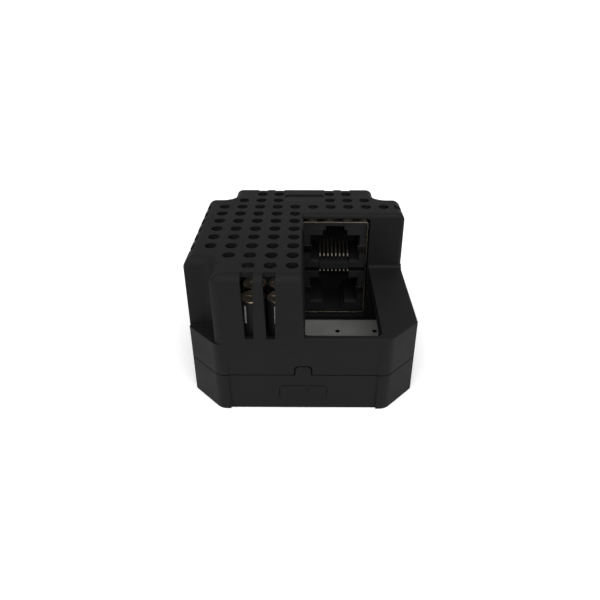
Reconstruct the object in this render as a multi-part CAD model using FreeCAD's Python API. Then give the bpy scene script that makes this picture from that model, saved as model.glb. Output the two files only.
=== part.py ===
"""A compact wired-and-wireless network node: an octagonal vented case, 49 mm square, with a
stacked pair of shielded network sockets at the back of an open well, two circuit boards and two
internal antennas.  Millimetres.  +Z is up, -Y is the front, and the origin is the centre of the
case's underside."""
import FreeCAD
import Part
import math
import os

V = FreeCAD.Vector

# ---- driving dimensions -------------------------------------------------------------------
PITCH = 4.4                # spacing of the vent holes, and the module of the whole case
CASE_WIDTH = 49.2          # across the flats, both ways
CASE_HEIGHT = 33.2
CORNER_CUT = 7.2           # leg of the 45 degree corner, in the raised part of the shell
LOW_CORNER_CUT = 6.7       # the same below the ledges, where the corner is sharper
WALL = 1.3
TOP_THICK = 1.2
FLOOR_THICK = 1.0

PARTING_Z = 9.2            # joint between base cover and top shell
PARTING_GAP = 0.25
LEDGE_Z = 17.1             # foot of the three square corner notches
SHELF_Z = 18.7             # top of the low front right quarter
WALL_FACE_Y = 6.2          # front of the raised wall that the sockets stand behind
WALL_THICK = 1.2
SLAB_DEPTH = 1.0           # top layer of the low quarter that carries its rounded rim
WELL_LEFT = 0.3            # sides of the open well in the shelf
WELL_RIGHT = 16.37
LIP_FOOT = 15.6            # lower edge of the lip round the well
TOP_RADIUS = 2.0
NOTCH_X = 18.2             # walls of the corner notches
NOTCH_Y = 17.1
NOTCH_RADIUS = 3.0
OUTER_CORNER = 2.0         # upright corners where the back notches meet the sides
VENT_DIAMETER = 0.6 * PITCH

JACK_CENTRE_X = 7.7
JACK_WIDTH = 16.4
JACK_FACE_Y = 7.5
JACK_BACK_Y = 22.7
JACK_BOTTOM = 4.05
JACK_TOP = 30.6
SHIELD_THICK = 0.25
PLUG_WIDTH = 12.0
PLUG_HEIGHT = 6.9
CONTACT_PITCH = 1.016
CONTACT_COUNT = 8
CONTACT_THICK = 0.36
CARRIER_WIDTH = 7.5

BOARD_BOTTOM = 1.4         # main board
BOARD_THICK = 1.0
POWER_BOARD_Z = 13.1       # underside of the upper, power board
POWER_BOARD_THICK = 1.6
CAN_DIAMETER = 5.3         # radial electrolytic capacitors
CAN_HEIGHT = 11.4

SCREW_PLACE = 18.4         # the four case screws, on both axes
SCREW_RADIUS = 1.2
HEAD_RADIUS = 2.1
POST_RADIUS = 3.0
SCREW_TIP = 14.6
HEAD_SEAT = 2.15

RESET_X = -8.0
RESET_Z = 4.15
LIGHT_X = -14.5
LIGHT_Z = 3.5

# ---- worked out from them -----------------------------------------------------------------
HALF = CASE_WIDTH / 2
INNER = HALF - WALL
BOARD_TOP = BOARD_BOTTOM + BOARD_THICK
POWER_TOP = POWER_BOARD_Z + POWER_BOARD_THICK
SHELL_FOOT = PARTING_Z + PARTING_GAP / 2
BASE_RIM = PARTING_Z - PARTING_GAP / 2
CEILING = CASE_HEIGHT - TOP_THICK
SKIRT_FOOT = BOARD_TOP + 0.25
CONTACT_XS = [JACK_CENTRE_X + CONTACT_PITCH * (i - (CONTACT_COUNT - 1) / 2) for i in range(CONTACT_COUNT)]
CORNERS = [(sx, sy) for sx in (-1, 1) for sy in (-1, 1)]
SCREW_PLACES = [(sx * SCREW_PLACE, sy * SCREW_PLACE) for sx, sy in CORNERS]
BEYOND = 50                # a length that reaches past the whole case, for cutters


# ---- helpers ------------------------------------------------------------------------------
def box(x0, x1, y0, y1, z0, z1):
    return Part.makeBox(x1 - x0, y1 - y0, z1 - z0, V(x0, y0, z0))


def block(cx, cy, z0, width, depth, height):
    return box(cx - width / 2, cx + width / 2, cy - depth / 2, cy + depth / 2, z0, z0 + height)


def rod(x, y, z0, z1, radius):
    return Part.makeCylinder(radius, z1 - z0, V(x, y, z0))


def rod_y(x, z, y0, y1, radius):
    return Part.makeCylinder(radius, y1 - y0, V(x, y0, z), V(0, 1, 0))


def prism(points, direction):
    """The closed outline through the points, swept along a vector."""
    corners = [V(*point) for point in points]
    face = Part.Face(Part.makePolygon(corners + corners[:1]))
    return face.extrude(V(*direction))


def edges_where(solid, test):
    return [edge for edge in solid.Edges if test(edge)]


def along(edge, axis):
    """True for a straight edge that runs along the named axis."""
    extent = edge.BoundBox
    spans = {"x": extent.XLength, "y": extent.YLength, "z": extent.ZLength}
    own = spans.pop(axis)
    return own > 0.05 and max(spans.values()) < 1e-4


def rounded(solid, axis, radius):
    """The solid with all of its edges along one axis rounded."""
    return solid.makeFillet(radius, edges_where(solid, lambda edge: along(edge, axis)))


def level(edge, z):
    return abs(edge.BoundBox.ZMin - z) < 1e-4 and abs(edge.BoundBox.ZMax - z) < 1e-4


def octagon(inset, z0, z1, front_radius=3.0, side_radius=0.3, cut=LOW_CORNER_CUT):
    """The case outline, moved inward by inset, with its corner edges softened."""
    half = HALF - inset
    flat = (2 * HALF - cut) - inset * math.sqrt(2) - half
    outline = []
    for x, y in ((flat, -half), (half, -flat), (half, flat), (flat, half)):
        outline.append((x, y, z0))
    for x, y in ((-flat, half), (-half, flat), (-half, -flat), (-flat, -half)):
        outline.append((x, y, z0))
    solid = prism(outline, (0, 0, z1 - z0))
    at_front = edges_where(solid, lambda e: along(e, "z") and abs(e.BoundBox.YMin) > half - 0.01)
    solid = solid.makeFillet(front_radius, at_front)
    at_side = edges_where(solid, lambda e: along(e, "z") and abs(e.BoundBox.XMin) > half - 0.01)
    at_side = [e for e in at_side if abs(e.BoundBox.YMin) < flat + 0.01]
    return solid.makeFillet(side_radius, at_side)


def corner_notch(sx, sy, grow):
    """What a square corner notch removes, with its inner corner rounded."""
    x = NOTCH_X - grow
    y = NOTCH_Y - grow
    cutter = box(x, BEYOND, y, BEYOND, LEDGE_Z - grow, BEYOND)
    inner = edges_where(cutter, lambda e: along(e, "z") and e.BoundBox.XMax + e.BoundBox.YMax < x + y + 0.1)
    cutter = cutter.makeFillet(NOTCH_RADIUS + grow, inner)
    if sx < 0:
        cutter = cutter.mirror(V(0, 0, 0), V(1, 0, 0))
    if sy < 0:
        cutter = cutter.mirror(V(0, 0, 0), V(0, 1, 0))
    return cutter


def low_quarter(grow):
    """What is missing above the shelf: its left face leans back a little for the mould."""
    top_x = -0.45 - grow
    foot_x = 0.3 - grow
    z0 = SHELF_Z - (WALL if grow else SLAB_DEPTH)
    lean = (foot_x - top_x) / (CASE_HEIGHT - SHELF_Z)
    outline = [(foot_x, -BEYOND, z0), (BEYOND, -BEYOND, z0), (BEYOND, -BEYOND, BEYOND)]
    outline.append((foot_x - lean * (BEYOND - z0), -BEYOND, BEYOND))
    return prism(outline, (0, WALL_FACE_Y + grow + BEYOND, 0))


def outer_corner(edge, half):
    """True for the upright edges where the back notches meet the left and right sides."""
    at_side = abs(abs(edge.BoundBox.XMin) - half) < 0.01
    at_back = edge.BoundBox.YMin > 0
    return along(edge, "z") and at_side and at_back and edge.BoundBox.ZMax > LEDGE_Z + 5


def shell_form(inset):
    """The top shell's outer form, or its cavity when inset is above zero."""
    top = CASE_HEIGHT - (TOP_THICK if inset else 0)
    foot = SHELL_FOOT - (5 if inset else 0)
    solid = octagon(inset, foot, top, side_radius=0.6, cut=CORNER_CUT)
    for sx, sy in CORNERS:
        if (sx, sy) != (1, -1):
            solid = solid.cut(corner_notch(sx, sy, inset))
    solid = solid.makeFillet(OUTER_CORNER, edges_where(solid, lambda e: outer_corner(e, HALF - inset)))
    radius = TOP_RADIUS - (TOP_THICK if inset else 0)
    solid = solid.makeFillet(radius, edges_where(solid, lambda e: level(e, top)))
    solid = solid.cut(low_quarter(inset))
    low = octagon(inset, foot, LEDGE_Z - inset)
    shelf_corner = octagon(inset, LEDGE_Z - inset - 1, SHELF_Z - max(inset, SLAB_DEPTH / 2))
    shelf_corner = shelf_corner.common(box(10, HALF, -HALF, -10, 0, CASE_HEIGHT))
    return solid.multiFuse([low, shelf_corner]).removeSplitter()


def turned(solid, degrees):
    copy = solid.copy()
    copy.rotate(V(0, 0, 0), V(0, 0, 1), degrees)
    return copy


def side_recesses():
    """The shallow panel on each side, flush at its top and deepest at the underside."""
    depth = 0.4
    half_width = 15.85
    outside = -HALF - 1
    outline = [(-half_width, outside, LEDGE_Z), (-half_width, -HALF, LEDGE_Z)]
    outline += [(-half_width, -HALF + depth, 0), (-half_width, -HALF + depth, -1)]
    outline.append((-half_width, outside, -1))
    wedge = prism(outline, (2 * half_width, 0, 0))
    return [turned(wedge, 90 * turn) for turn in range(4)]


# ---- top shell ----------------------------------------------------------------------------
def vent_holes():
    """Columns 1 to 10 run left to right and rows 1 to 10 run back to front."""
    rows = {1: (3, 4, 7, 8), 2: (2, 3, 4, 7, 8, 9), 3: range(1, 11), 9: range(2, 6), 10: range(3, 6)}
    holes = []
    for row in range(1, 11):
        for column in rows.get(row, range(1, 6)):
            x = (column - 5.5) * PITCH
            y = (5.5 - row) * PITCH
            holes.append(rod(x, y, CEILING - 1, CASE_HEIGHT + 1, VENT_DIAMETER / 2))
    return holes


def vent_slot(offset, notch_depth=2.15):
    """A tapered slot through the front wall that runs out through the rounded top edge."""
    top_half = 1.25
    foot_half = 0.88
    foot = 18.6
    high = CASE_HEIGHT + 1
    y0 = -HALF - 1
    outline = [(offset - foot_half, y0, foot), (offset + foot_half, y0, foot)]
    outline += [(offset + top_half, y0, CEILING), (offset + top_half, y0, high)]
    outline += [(offset - top_half, y0, high), (offset - top_half, y0, CEILING)]
    return prism(outline, (0, 1 + notch_depth, 0))


def vent_slots():
    """Two slots in the front, four in the back, six in the left side and one in the right."""
    slots = [vent_slot(column * PITCH) for column in (-2.5, -1.5)]
    slots += [turned(vent_slot(column * PITCH), 180) for column in (-2.5, -1.5, 1.5, 2.5)]
    slots += [turned(vent_slot(row * PITCH, WALL + 0.05), -90) for row in (-2.5, -1.5, -0.5, 0.5, 1.5, 2.5)]
    slots.append(turned(vent_slot(2.5 * PITCH), 90))
    return slots


def top_pocket():
    """A blank name pocket in the top, deepest at its far edge."""
    near, far, depth, half_width = 14.9, 19.5, 0.4, 5.0
    outline = [(-half_width, near, CASE_HEIGHT), (-half_width, far, CASE_HEIGHT - depth)]
    outline += [(-half_width, far, CASE_HEIGHT + 1), (-half_width, near, CASE_HEIGHT + 1)]
    pocket = prism(outline, (2 * half_width, 0, 0))
    far_corners = edges_where(pocket, lambda e: along(e, "z") and e.BoundBox.YMin > far - 0.01)
    return pocket.makeFillet(0.9, far_corners)


def well_opening():
    """The hole in the shelf over the well, from the raised wall to the front wall."""
    hole = box(WELL_LEFT, WELL_RIGHT, -INNER, WALL_FACE_Y, SKIRT_FOOT, SHELF_Z + 1)
    front = edges_where(hole, lambda e: along(e, "z") and e.BoundBox.YMax < -20)
    return hole.makeFillet(0.9, front)


TAB_DEPTH = 0.8            # the wall behind each tab stays whole


def tab_outline(grow, low, depth):
    """The rounded tab that locates the base in the shell, centred on the front."""
    half = 1.65 + grow
    top = 11.4 + grow
    tab = box(-half, half, -HALF, -HALF + depth, low, top)
    crown = edges_where(tab, lambda e: along(e, "y") and e.BoundBox.ZMin > top - 0.01)
    return tab.makeFillet(1.0, crown)


def inner_walls():
    """Walls that hang inside the shell: left of the well and below the raised wall, with the lip."""
    into_wall = 0.5
    front = -HALF + into_wall
    back = WALL_FACE_Y + into_wall
    left = box(WELL_LEFT - WALL_THICK, WELL_LEFT, 0.25 - INNER, back, SKIRT_FOOT, SHELF_Z)
    left = left.fuse(box(WELL_LEFT - WALL_THICK, WELL_LEFT, front, back, SHELL_FOOT, SHELF_Z))
    behind = box(WELL_LEFT - WALL_THICK, 20.0, WALL_FACE_Y, WALL_FACE_Y + WALL_THICK, SKIRT_FOOT, SHELF_Z)
    lip = box(WELL_RIGHT, WELL_RIGHT + WALL_THICK, front, back, LIP_FOOT, SHELF_Z - into_wall)
    return [left, behind, lip]


def screw_bosses():
    bosses = []
    for x, y in SCREW_PLACES:
        roof = SHELF_Z if x > 0 > y else LEDGE_Z
        bosses.append(rod(x, y, SHELL_FOOT, roof - 0.6, 2.4))
    return bosses


def shelf_slab():
    """The top of the low quarter, its outer edge slightly rounded."""
    slab = octagon(0, SHELF_Z - SLAB_DEPTH, SHELF_Z)
    slab = slab.makeFillet(0.45, edges_where(slab, lambda e: level(e, SHELF_Z)))
    return slab.common(box(-0.2, 40, -40, WALL_FACE_Y + 0.3, 0, 40))


def wall_foot_round():
    """The hollow round where the raised wall meets the shelf."""
    radius = 0.8
    start = -0.2
    bead = box(start, HALF, WALL_FACE_Y - radius, WALL_FACE_Y + 0.5, SHELF_Z - 0.1, SHELF_Z + radius)
    axis = V(start - 1, WALL_FACE_Y - radius, SHELF_Z + radius)
    return bead.cut(Part.makeCylinder(radius, CASE_WIDTH, axis, V(1, 0, 0)))


def jack_room(y0, y1):
    """The space that the case keeps clear for the stacked sockets."""
    side = JACK_WIDTH / 2 + 0.25
    return box(JACK_CENTRE_X - side, JACK_CENTRE_X + side, y0, y1, BOARD_TOP, CEILING)


def top_shell():
    shell = shell_form(0)
    # the raised wall's top edge and the foot of that wall are rounded
    wall_top = edges_where(shell, lambda e: level(e, CASE_HEIGHT) and along(e, "x")
                           and abs(e.BoundBox.YMin - WALL_FACE_Y) < 0.01)
    shell = shell.makeFillet(1.1, wall_top)
    shell = shell.multiFuse([shelf_slab(), wall_foot_round()]).removeSplitter()
    shell = shell.cut(shell_form(WALL))
    shell = shell.multiFuse(inner_walls() + screw_bosses())
    shell = shell.common(octagon(0, 0, CASE_HEIGHT))
    window = jack_room(WALL_FACE_Y - 1, WALL_FACE_Y + WALL_THICK + 0.5)
    window = window.common(box(-BEYOND, BEYOND, -BEYOND, BEYOND, JACK_BOTTOM - 0.15, CEILING))
    window = rounded(window, "y", 0.9)
    screw_holes = [rod(x, y, SHELL_FOOT - 1, SCREW_TIP + 0.8, SCREW_RADIUS + 0.03) for x, y in SCREW_PLACES]
    cuts = [window, jack_room(JACK_FACE_Y, JACK_BACK_Y + 0.3), well_opening(), top_pocket()]
    cuts += vent_holes() + vent_slots() + side_recesses() + screw_holes
    cuts += [turned(tab_outline(0.28, PARTING_Z - 1, TAB_DEPTH + 0.15), 90 * turn) for turn in range(4)]
    return shell.cut(cuts).removeSplitter()


# ---- base cover ---------------------------------------------------------------------------
PLAQUE_HALF_WIDTH = 4.9
PLAQUE_LOW = 2.7
PLAQUE_HIGH = 6.15


def plaque_groove():
    """The hollow that the plaque stands in; what the plaque leaves open is a fine line round it."""
    gap, depth = 0.25, 0.4
    half_width = PLAQUE_HALF_WIDTH + gap
    groove = box(-half_width, half_width, -HALF - 1, -HALF + depth, PLAQUE_LOW - gap, PLAQUE_HIGH + gap)
    return rounded(groove, "y", 0.9 + gap)


def front_plaque():
    """A blank name plaque with a small row of rising bars, on the front of the base."""
    half_width, low, high = PLAQUE_HALF_WIDTH, PLAQUE_LOW, PLAQUE_HIGH
    outline = [(-half_width, -HALF, low), (-half_width, -HALF + 0.2, high)]
    outline += [(-half_width, -HALF + 1.0, high), (-half_width, -HALF + 1.0, low)]
    plaque = prism(outline, (2 * half_width, 0, 0))
    lower = edges_where(plaque, lambda e: abs(e.BoundBox.ZMax - low) < 0.01 and along(e, "y"))
    plaque = plaque.makeFillet(0.9, lower)
    bar_width, bar_foot = 0.55, 3.55
    bars = [box(x, x + bar_width, -HALF + 0.01, -HALF + 0.5, bar_foot, bar_foot + rise)
            for x, rise in ((-1.45, 0.6), (-0.65, 1.0), (0.15, 1.4), (0.95, 1.8))]
    return [plaque] + bars


def base_cover():
    cover = octagon(0, 0, BASE_RIM)
    cover = cover.cut(octagon(WALL, FLOOR_THICK, PARTING_Z + 1))
    tabs = [turned(tab_outline(0, BASE_RIM - 3, TAB_DEPTH), 90 * turn) for turn in range(4)]
    floor_foot = 0.2
    posts = [rod(x, y, floor_foot, BASE_RIM, POST_RADIUS) for x, y in SCREW_PLACES]
    rests = [rod(x, y, floor_foot, BOARD_BOTTOM, POST_RADIUS + 1.4) for x, y in SCREW_PLACES]
    cover = cover.multiFuse(tabs + posts + rests).common(octagon(0, 0, CASE_HEIGHT))
    holes = [rod(x, y, -1, BASE_RIM + 1, SCREW_RADIUS + 0.15) for x, y in SCREW_PLACES]
    holes += [rod(x, y, -1, HEAD_SEAT + 0.05, HEAD_RADIUS + 0.2) for x, y in SCREW_PLACES]
    holes.append(rod_y(RESET_X, RESET_Z, INNER - 1, HALF + 1, 0.8))
    holes.append(rod_y(LIGHT_X, LIGHT_Z, INNER - 1, HALF + 1, 1.05))
    holes.append(jack_room(JACK_FACE_Y, JACK_BACK_Y + 0.3))
    cover = cover.cut(side_recesses() + holes + [plaque_groove()])
    return cover.multiFuse(front_plaque()).removeSplitter()


def case_screws():
    """Four self-tapping screws, put in from below."""
    head_low = 0.55
    screws = []
    for x, y in SCREW_PLACES:
        head = rod(x, y, head_low, HEAD_SEAT, HEAD_RADIUS)
        shank = rod(x, y, HEAD_SEAT - 0.15, SCREW_TIP, SCREW_RADIUS)
        socket = rod(x, y, head_low - 0.05, head_low + 0.85, 1.0)
        screws.append(head.fuse(shank).cut(socket).removeSplitter())
    return Part.makeCompound(screws)


# ---- boards -------------------------------------------------------------------------------
def main_board():
    board = octagon(WALL + 0.3, BOARD_BOTTOM, BOARD_TOP, 2.7, 0.7)
    post_holes = [rod(x, y, 0, 5, POST_RADIUS + 0.25) for x, y in SCREW_PLACES]
    tooling_holes = [rod(x, 1.2, 0, 5, 0.45) for x in (8.76, 18.4)]
    return board.cut(post_holes + tooling_holes)


POWER_BOARD_EDGES = (-22.6, -1.5, -22.6, 4.6)


def power_board():
    x0, x1, y0, y1 = POWER_BOARD_EDGES
    board = box(x0, x1, y0, y1, POWER_BOARD_Z, POWER_TOP)
    board = board.common(octagon(WALL + 0.4, POWER_BOARD_Z - 1, POWER_TOP + 1, 2.6, 0.6))
    return board.cut([rod(-SCREW_PLACE, -SCREW_PLACE, POWER_BOARD_Z - 1, POWER_TOP + 1, 2.8)])


SPACER_PLACES = [(-15.2, -13.2), (-20.6, -13.0), (-3.6, 2.6), (-20.6, 2.9)]


def board_spacers():
    """Threaded hexagonal pillars between the two boards."""
    across_corners = 2.0
    pillars = []
    for x, y in SPACER_PLACES:
        outline = [(x + across_corners * math.cos(math.radians(60 * i)),
                    y + across_corners * math.sin(math.radians(60 * i)), BOARD_TOP) for i in range(6)]
        pillars.append(prism(outline, (0, 0, POWER_BOARD_Z - BOARD_TOP)))
    return Part.makeCompound(pillars)


def spacer_screws():
    """Pan-head screws that hold the power board down on its pillars."""
    screws = []
    for x, y in SPACER_PLACES:
        slot = block(x, y, POWER_TOP + 0.7, 2.6, 0.5, 1)
        screws.append(rod(x, y, POWER_TOP, POWER_TOP + 1.2, 1.7).cut(slot))
    return Part.makeCompound(screws)


HEADER_SPLIT = POWER_BOARD_Z - 3.0


def header_block(z0, z1):
    """One half of the strip of eight pins that joins the boards."""
    return block(-2.5, -8.0, z0, 2.0, 8 * 2.0, z1 - z0)


# ---- stacked socket -----------------------------------------------------------------------
def jack_shield():
    x0 = JACK_CENTRE_X - JACK_WIDTH / 2
    x1 = JACK_CENTRE_X + JACK_WIDTH / 2
    t = SHIELD_THICK
    outer = box(x0, x1, JACK_FACE_Y, JACK_BACK_Y, JACK_BOTTOM, JACK_TOP)
    outer = rounded(outer, "y", 0.4)
    inner = box(x0 + t, x1 - t, JACK_FACE_Y - 1, JACK_BACK_Y - t, JACK_BOTTOM + t, JACK_TOP - t)
    legs = [block(x, y, BOARD_TOP, t, 1.4, JACK_BOTTOM - BOARD_TOP + t) for x in (x0 + t / 2, x1 - t / 2)
            for y in (JACK_FACE_Y + 3, JACK_BACK_Y - 3)]
    return outer.cut(inner).multiFuse(legs).removeSplitter()


def plug_cavity(floor_z, latch_up):
    """The keyed socket opening: plug body, two latch steps, and a bevelled mouth."""
    depth = 11.5
    y0 = JACK_FACE_Y - 0.5
    y1 = JACK_FACE_Y + 0.15 + depth
    centre = JACK_CENTRE_X
    body = box(centre - PLUG_WIDTH / 2, centre + PLUG_WIDTH / 2, y0, y1, floor_z, floor_z + PLUG_HEIGHT)
    steps = []
    for width, rise in ((6.1, 1.7), (4.7, 2.8)):
        low = floor_z + PLUG_HEIGHT if latch_up else floor_z - rise
        steps.append(box(centre - width / 2, centre + width / 2, y0, y1, low, low + rise))
    bevel = 0.32
    face = JACK_FACE_Y + 0.15
    wide = wire_box(centre, floor_z - bevel, PLUG_WIDTH + 2 * bevel, PLUG_HEIGHT + 2 * bevel, face)
    narrow = wire_box(centre, floor_z, PLUG_WIDTH, PLUG_HEIGHT, face + 0.8)
    mouth = Part.makeLoft([wide, narrow], True)
    return [body, mouth] + steps


def wire_box(centre_x, low_z, width, height, y):
    corners = [V(centre_x - width / 2, y, low_z), V(centre_x + width / 2, y, low_z)]
    corners += [V(centre_x + width / 2, y, low_z + height), V(centre_x - width / 2, y, low_z + height)]
    return Part.makePolygon(corners + corners[:1])


UPPER_FLOOR = 19.75
LOWER_FLOOR = 7.65
CARRIER_END = JACK_FACE_Y + 11.4


def jack_insert(z0, z1, floor_z, latch_up):
    """One moulded socket insert, open in the middle where the contact carrier passes."""
    side = JACK_WIDTH / 2 - SHIELD_THICK - 0.12
    body = box(JACK_CENTRE_X - side, JACK_CENTRE_X + side, JACK_FACE_Y + 0.15, JACK_BACK_Y - 0.6, z0, z1)
    half_slot = CARRIER_WIDTH / 2 + 0.12
    if latch_up:
        low, high = z0 - 1, floor_z + 1
    else:
        low, high = floor_z + PLUG_HEIGHT - 1, z1 + 1
    slot = box(JACK_CENTRE_X - half_slot, JACK_CENTRE_X + half_slot, 0, CARRIER_END + 0.2, low, high)
    return body.cut(plug_cavity(floor_z, latch_up) + [slot])


def jack_carrier():
    """The tongue between the ports that carries both rows of contacts, and its rear block."""
    x0 = JACK_CENTRE_X - CARRIER_WIDTH / 2
    x1 = JACK_CENTRE_X + CARRIER_WIDTH / 2
    low, high, comb_top = 17.5, 19.1, 19.65
    tongue = box(x0, x1, JACK_FACE_Y + 0.1, CARRIER_END, low, high)
    comb = box(x0, x1, JACK_FACE_Y + 0.9, JACK_FACE_Y + 2.4, high, comb_top)
    grooves = [block(x, JACK_FACE_Y + 1.6, high + 0.15, CONTACT_THICK + 0.12, 3, 1) for x in CONTACT_XS]
    return tongue.fuse(comb).cut(grooves).removeSplitter()


def strip(points, x, thickness):
    """A flat spring wire through the (y, z) points, square in section, centred on x."""
    half = thickness / 2
    left, right = [], []
    for i, (y, z) in enumerate(points):
        before = points[max(i - 1, 0)]
        after = points[min(i + 1, len(points) - 1)]
        run_in = (y - before[0], z - before[1]) if i else (after[0] - y, after[1] - z)
        run_out = (after[0] - y, after[1] - z) if i < len(points) - 1 else run_in
        a = math.atan2(run_in[1], run_in[0])
        b = math.atan2(run_out[1], run_out[0])
        mid = math.atan2(math.sin(a) + math.sin(b), math.cos(a) + math.cos(b))
        reach = half / max(abs(math.cos((b - a) / 2)), 0.35)
        across = (-math.sin(mid) * reach, math.cos(mid) * reach)
        left.append((x - half, y + across[0], z + across[1]))
        right.append((x - half, y - across[0], z - across[1]))
    return prism(left + right[::-1], (thickness, 0, 0))


def jack_contacts(points):
    return Part.makeCompound([strip(points, x, CONTACT_THICK) for x in CONTACT_XS])


UPPER_CONTACT = [(JACK_FACE_Y + 6.5, 19.45), (JACK_FACE_Y + 2.9, 19.45), (JACK_FACE_Y + 2.5, 19.95),
                 (JACK_FACE_Y + 2.9, 20.4), (JACK_FACE_Y + 10.6, 25.0)]
LOWER_CONTACT = [(JACK_FACE_Y + 6.5, 17.15), (JACK_FACE_Y + 0.9, 17.15), (JACK_FACE_Y + 0.5, 16.7),
                 (JACK_FACE_Y + 0.9, 16.2), (JACK_FACE_Y + 10.2, 10.2)]


def ground_springs():
    """Tabs of the shield that fold round the sides of each socket mouth."""
    springs = []
    edge = JACK_WIDTH / 2 - SHIELD_THICK - 0.05
    face_y = JACK_FACE_Y - 0.02
    tab_height = 1.9
    for z0 in (22.2, 10.2):
        for side in (-1, 1):
            outer = JACK_CENTRE_X + side * edge
            inner = JACK_CENTRE_X + side * (PLUG_WIDTH / 2 - 0.25)
            low, high = sorted((outer, inner))
            face = box(low, high, face_y, JACK_FACE_Y + 0.13, z0, z0 + tab_height)
            low, high = sorted((inner, inner + side * 0.15))
            leg = box(low, high, face_y, JACK_FACE_Y + 4.0, z0, z0 + tab_height)
            springs.append(face.fuse(leg).removeSplitter())
    return Part.makeCompound(springs)


# ---- power board parts --------------------------------------------------------------------
SHOULDER = 0.3             # bare metal above the straight part of each sleeve
CAN_PLACES = [(-10.4, -19.85), (-4.9, -19.85), (-10.4, -14.2), (-4.9, -14.2)]


def capacitor_cans():
    """The aluminium cans: a rounded top with a pressure vent pressed into it."""
    cans = []
    radius = CAN_DIAMETER / 2 - 0.12
    for x, y in CAN_PLACES:
        can = rod(x, y, POWER_TOP + 0.3, POWER_TOP + CAN_HEIGHT, radius)
        crown = edges_where(can, lambda e: level(e, POWER_TOP + CAN_HEIGHT) and e.Closed)
        can = can.makeFillet(0.2, crown)
        groove_foot = POWER_TOP + CAN_HEIGHT - 0.15
        vents = [block(x, y, groove_foot, 3.4, 0.3, 1), block(x, y, groove_foot, 0.3, 3.4, 1)]
        cans.append(can.cut(vents))
    return Part.makeCompound(cans)


def capacitor_sleeves():
    """Shrink sleeves that turn over the edge of each can."""
    sleeves = []
    for x, y in CAN_PLACES:
        sleeve = rod(x, y, POWER_TOP, POWER_TOP + CAN_HEIGHT - SHOULDER, CAN_DIAMETER / 2)
        inside = rod(x, y, POWER_TOP - 1, POWER_TOP + CAN_HEIGHT + 1, CAN_DIAMETER / 2 - 0.12)
        sleeves.append(sleeve.cut(inside))
    return Part.makeCompound(sleeves)


TRANSFORMER_X = -16.6
TRANSFORMER_Y = -4.9
BOBBIN_LOW = POWER_TOP + 3.25
BOBBIN_HEIGHT = 6.5
FLANGE = 0.6


def transformer_core():
    """Two ferrite halves: a frame round the winding with a round centre leg."""
    frame = block(TRANSFORMER_X, TRANSFORMER_Y, POWER_TOP + 1.0, 9.6, 9.0, 11.0)
    window = block(TRANSFORMER_X, TRANSFORMER_Y, POWER_TOP + 3.2, 7.4, 12.0, 6.6)
    leg = rod(TRANSFORMER_X, TRANSFORMER_Y, POWER_TOP + 2.5, POWER_TOP + 10.5, 1.5)
    return frame.cut(window).fuse(leg).removeSplitter()


def transformer_bobbin():
    width = 7.2
    high = BOBBIN_LOW + BOBBIN_HEIGHT
    tube = rod(TRANSFORMER_X, TRANSFORMER_Y, BOBBIN_LOW, high, 2.1)
    flanges = [block(TRANSFORMER_X, TRANSFORMER_Y, z, width, 9.4, FLANGE)
               for z in (BOBBIN_LOW, high - FLANGE)]
    feet = [block(TRANSFORMER_X, TRANSFORMER_Y + side * 5.2, POWER_TOP, width, 1.2, 3.85) for side in (-1, 1)]
    bore = rod(TRANSFORMER_X, TRANSFORMER_Y, BOBBIN_LOW - 1, high + 1, 1.55)
    return tube.multiFuse(flanges + feet).cut(bore).removeSplitter()


def transformer_winding():
    low = BOBBIN_LOW + FLANGE + 0.05
    high = BOBBIN_LOW + BOBBIN_HEIGHT - FLANGE - 0.05
    coil = rod(TRANSFORMER_X, TRANSFORMER_Y, low, high, 3.4)
    return coil.cut(rod(TRANSFORMER_X, TRANSFORMER_Y, low - 1, high + 1, 2.15))


def power_choke():
    core = block(-7.6, -3.0, POWER_TOP, 6.8, 6.8, 4.2)
    return rounded(core, "z", 1.2)


def power_chips():
    chips = [block(x, y, POWER_TOP + 0.1, 4.0, 3.2, 1.2) for x, y in ((-4.6, -8.4), (-9.6, -8.6))]
    chips.append(block(-9.6, 2.6, POWER_TOP + 0.1, 5.0, 2.6, 1.4))
    return Part.makeCompound(chips)


# ---- main board parts ---------------------------------------------------------------------
CHIP_X = -12.0
CHIP_Y = -3.5


CHIP_HEIGHT = 1.1
PAD_THICK = 0.5


def processor():
    return block(CHIP_X, CHIP_Y, BOARD_TOP, 9.0, 9.0, CHIP_HEIGHT)


def thermal_pad():
    return block(CHIP_X, CHIP_Y, BOARD_TOP + CHIP_HEIGHT, 8.4, 8.4, PAD_THICK)


def heat_sink():
    foot = BOARD_TOP + CHIP_HEIGHT + PAD_THICK
    width, fin_spacing = 11.0, 2.0
    plate = block(CHIP_X, CHIP_Y, foot, width, width, 1.4)
    fins = [block(CHIP_X + fin_spacing * (i - 2.5), CHIP_Y, foot + 1.3, 0.9, width, 6.2) for i in range(6)]
    return plate.multiFuse(fins).removeSplitter()


def radio_can():
    """The folded tin shield over the two radios, with a grid of small holes."""
    t = 0.2
    x0, x1, y0, y1 = -12.8, -2.6, 8.4, 18.8
    roof = BOARD_TOP + 2.4
    outer = box(x0, x1, y0, y1, BOARD_TOP, roof)
    inner = box(x0 + t, x1 - t, y0 + t, y1 - t, BOARD_TOP - 1, roof - t)
    holes = [rod(x0 + 2.1 + 2 * i, y0 + 2.2 + 2 * j, BOARD_TOP + 1.5, BOARD_TOP + 3, 0.4)
             for i in range(4) for j in range(4)]
    return outer.cut([inner] + holes)


def radio_chips():
    return Part.makeCompound([block(-10.3, 13.6, BOARD_TOP, 4.2, 5.0, 0.9),
                              block(-5.2, 13.6, BOARD_TOP, 3.6, 4.2, 0.9)])


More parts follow.
